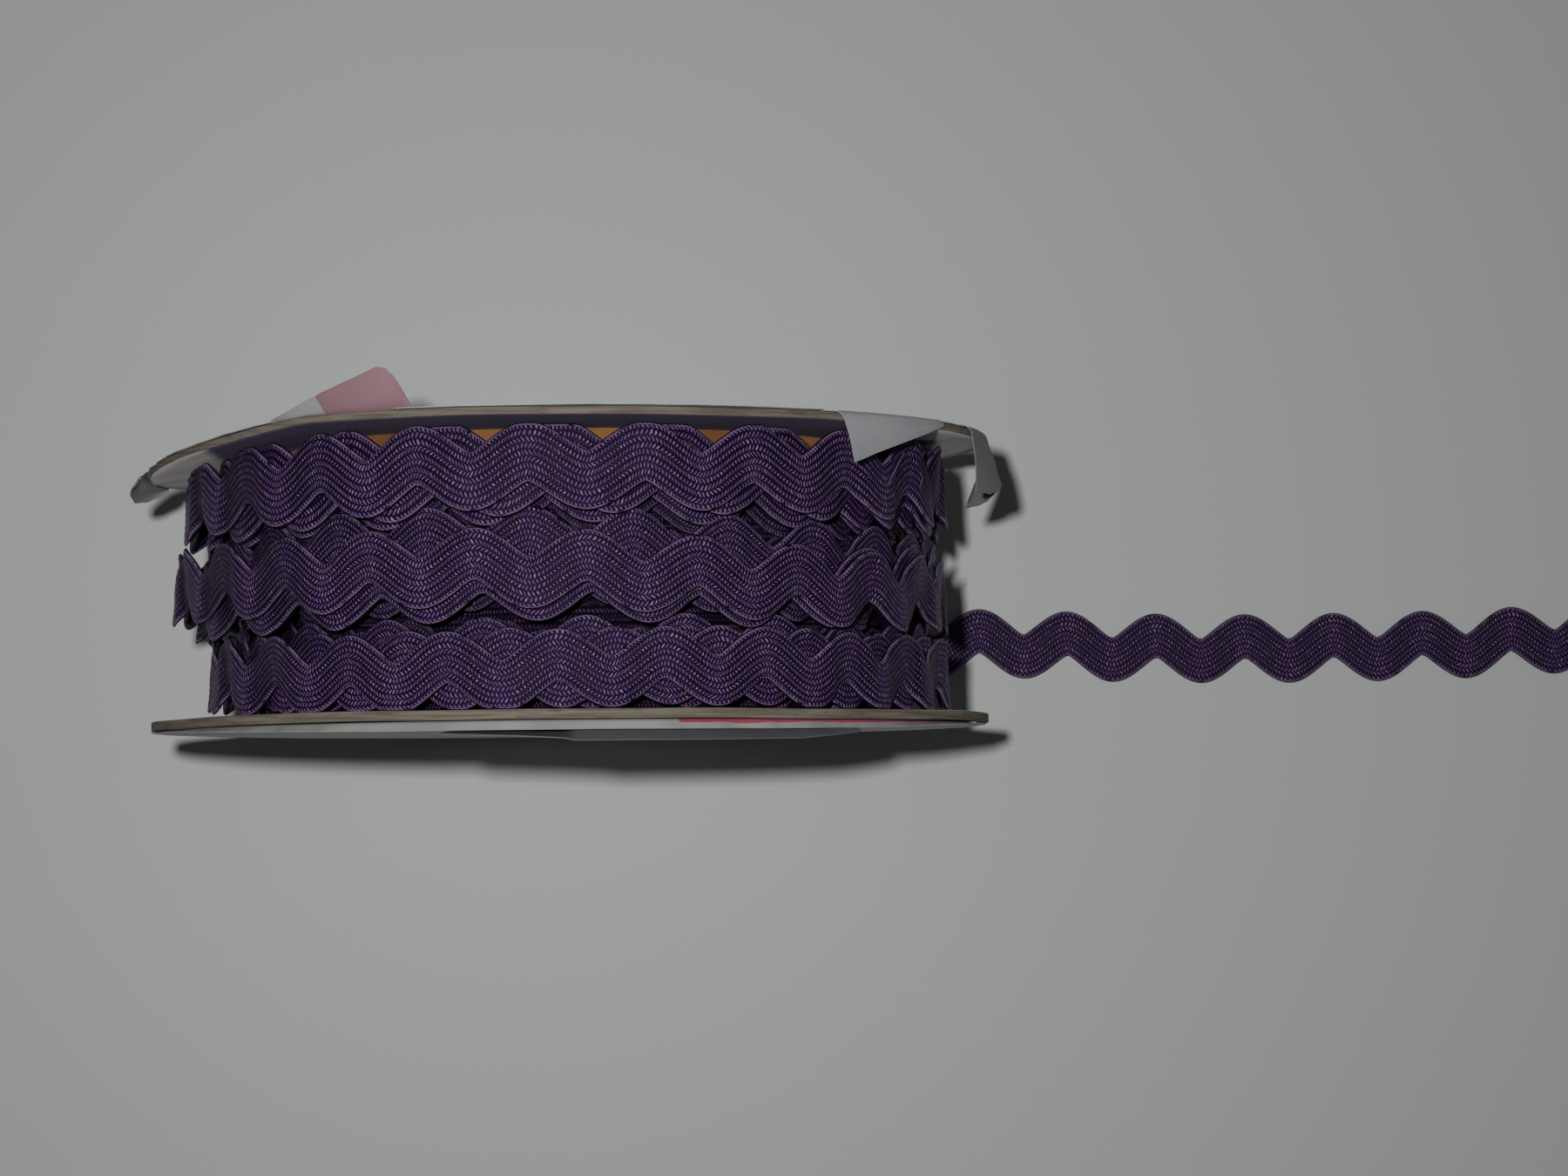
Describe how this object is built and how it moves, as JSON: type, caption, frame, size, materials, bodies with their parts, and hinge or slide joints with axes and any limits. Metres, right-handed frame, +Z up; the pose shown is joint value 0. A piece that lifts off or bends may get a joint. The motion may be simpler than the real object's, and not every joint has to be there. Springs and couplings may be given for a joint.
{
  "type": "ric rac roll on cardboard spool",
  "caption": "Ric rac trim wound in side-by-side rows on a cardboard spool that lies on its rims, with a loose end on the table.",
  "frame": {"origin": "on the table, under the middle of the whole object's box", "axes": "+X along the loose end, +Y along the spool's axis to the bent disc, +Z up"},
  "size_m": [0.2073, 0.0465, 0.1108],
  "materials": {
    "ric_rac": "braided polyester, dark purple, slight sheen",
    "cardboard": "brown chipboard, matte, raw edge",
    "paper": "off-white label paper, one pink band, torn"
  },
  "bodies": {
    "root": {"winding": "ric_rac", "tail": "ric_rac", "flange_near": "cardboard", "flange_far": "cardboard", "label_near": "paper", "label_far": "paper"}
  },
  "joints": []
}
